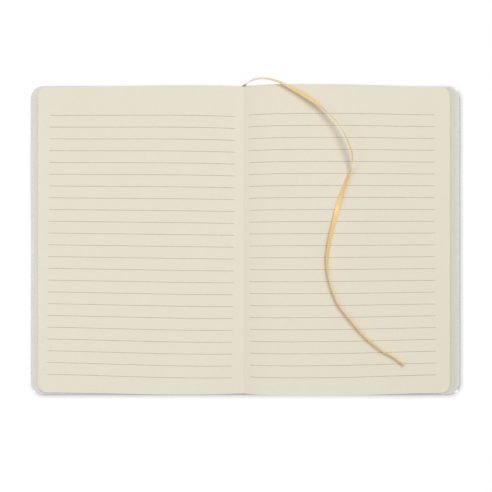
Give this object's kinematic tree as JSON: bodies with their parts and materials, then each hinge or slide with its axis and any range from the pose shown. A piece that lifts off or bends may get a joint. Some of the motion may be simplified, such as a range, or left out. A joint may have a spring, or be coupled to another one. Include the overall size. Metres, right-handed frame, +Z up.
{
  "type": "notebook",
  "caption": "Soft-cover ruled notebook lying open and face up, with fanned leaves, a flat spine, folding covers and a satin ribbon marker.",
  "frame": {"origin": "on the underside of the open covers, under the middle of the spine", "axes": "+X towards the right-hand page's fore edge, +Y towards the head, +Z up out of the pages"},
  "size_m": [0.293, 0.2139, 0.0222],
  "materials": {
    "cover": "soft fine-grained light grey cover stock, matte",
    "endpaper": "uncoated warm white paper",
    "lining": "thin open cloth, glued",
    "leaves": "uncoated cream writing paper",
    "ink": "thin grey printed line on the paper",
    "ribbon": "pale gold woven satin"
  },
  "bodies": {
    "block": {"page_block": "leaves", "front_flyleaf": "endpaper", "back_flyleaf": "endpaper", "left_ruling": "ink", "right_ruling": "ink", "spine_cover": "cover", "spine_lining": "lining", "ribbon_marker": "ribbon"},
    "front_cover": {"front_cover": "cover", "front_pastedown": "endpaper"},
    "back_cover": {"back_cover": "cover", "back_pastedown": "endpaper"}
  },
  "joints": [
    {"name": "front_hinge", "type": "hinge", "parent": "block", "child": "front_cover", "pos_m": [-0.006, 0, 0], "axis": [0, -1, 0], "range_deg": [0, 90]},
    {"name": "back_hinge", "type": "hinge", "parent": "block", "child": "back_cover", "pos_m": [0.006, 0, 0], "axis": [0, 1, 0], "range_deg": [0, 90]}
  ]
}
